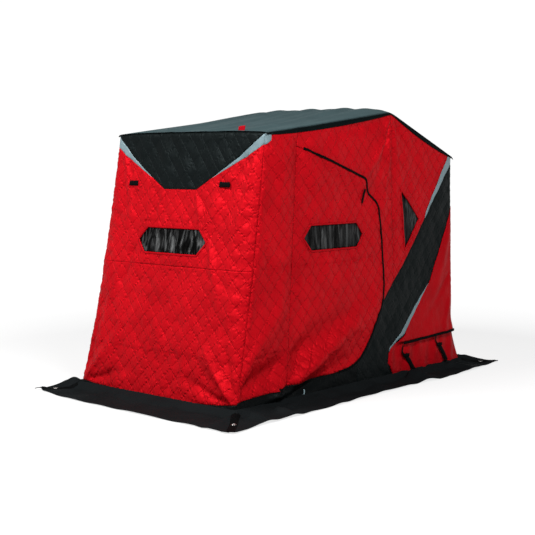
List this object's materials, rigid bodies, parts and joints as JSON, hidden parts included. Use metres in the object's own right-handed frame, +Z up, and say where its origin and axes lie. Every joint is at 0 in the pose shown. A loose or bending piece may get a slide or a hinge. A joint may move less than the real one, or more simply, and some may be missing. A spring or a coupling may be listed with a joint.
{
  "type": "ice fishing hut",
  "caption": "Flip-over ice fishing hut: a quilted fabric cabin with a raised ridge, zipped side doors and a skirt, on a sled.",
  "frame": {"origin": "centre of the skirt's footprint, on the ice", "axes": "+Z up, -Y the low front wall, +Y the sled end, +X the right-hand door"},
  "size_m": [2.01, 3.264, 2.018],
  "materials": {
    "quilted_fabric": "bright red quilted polyester, stitched in diamonds over a thin filling",
    "cover_fabric": "plain red coated polyester",
    "window_vinyl": "smoke-dark flexible vinyl, glossy and slightly rippled",
    "black_fabric": "black coated polyester, fine plain weave",
    "reflective_tape": "pale grey reflective tape",
    "skirt_fabric": "black woven skirt cloth, creased",
    "webbing": "black woven webbing",
    "eyelet_metal": "dull pressed metal",
    "sled_plastic": "black moulded polyethylene",
    "bracket_plastic": "black painted steel",
    "tube_steel": "bright square steel tube"
  },
  "bodies": {
    "shelter": {"front_upper_wall": "quilted_fabric", "front_lower_wall": "quilted_fabric", "front_window": "window_vinyl", "front_yoke": "black_fabric", "front_stripes": "reflective_tape", "vent_tabs": "webbing", "roof_panel": "black_fabric", "rear_roof_panel": "black_fabric", "rear_wall": "quilted_fabric", "rear_sled_cover": "cover_fabric", "right_front_panel": "quilted_fabric", "left_front_panel": "quilted_fabric", "right_door_header": "quilted_fabric", "left_door_header": "quilted_fabric", "right_door_jamb": "quilted_fabric", "left_door_jamb": "quilted_fabric", "right_door_sill": "black_fabric", "left_door_sill": "black_fabric", "right_rear_panel": "quilted_fabric", "left_rear_panel": "quilted_fabric", "right_rear_window": "window_vinyl", "left_rear_window": "window_vinyl", "right_band": "black_fabric", "left_band": "black_fabric", "right_lower_panel": "quilted_fabric", "left_lower_panel": "quilted_fabric", "right_sled_cover": "cover_fabric", "left_sled_cover": "cover_fabric", "sled_straps": "webbing", "front_skirt": "skirt_fabric", "rear_skirt": "skirt_fabric", "right_skirt": "skirt_fabric", "left_skirt": "skirt_fabric", "corner_straps": "webbing", "anchor_eyelets": "eyelet_metal", "sled": "sled_plastic", "ridge_posts": "tube_steel", "roof_rails": "tube_steel", "rear_struts": "tube_steel", "cross_bars": "tube_steel", "pivot_brackets": "bracket_plastic"},
    "right_door": {"right_door": "quilted_fabric", "right_door_window": "window_vinyl"},
    "left_door": {"left_door": "quilted_fabric", "left_door_window": "window_vinyl"}
  },
  "joints": [
    {"name": "right_door_hinge", "type": "hinge", "parent": "shelter", "child": "right_door", "pos_m": [0.74998, -0.70836, 0.96], "axis": [0.0301, -0.0965, -0.9949], "range_deg": [0, 110]},
    {"name": "left_door_hinge", "type": "hinge", "parent": "shelter", "child": "left_door", "pos_m": [-0.74998, -0.70836, 0.96], "axis": [0.0301, 0.0965, 0.9949], "range_deg": [0, 110]}
  ]
}
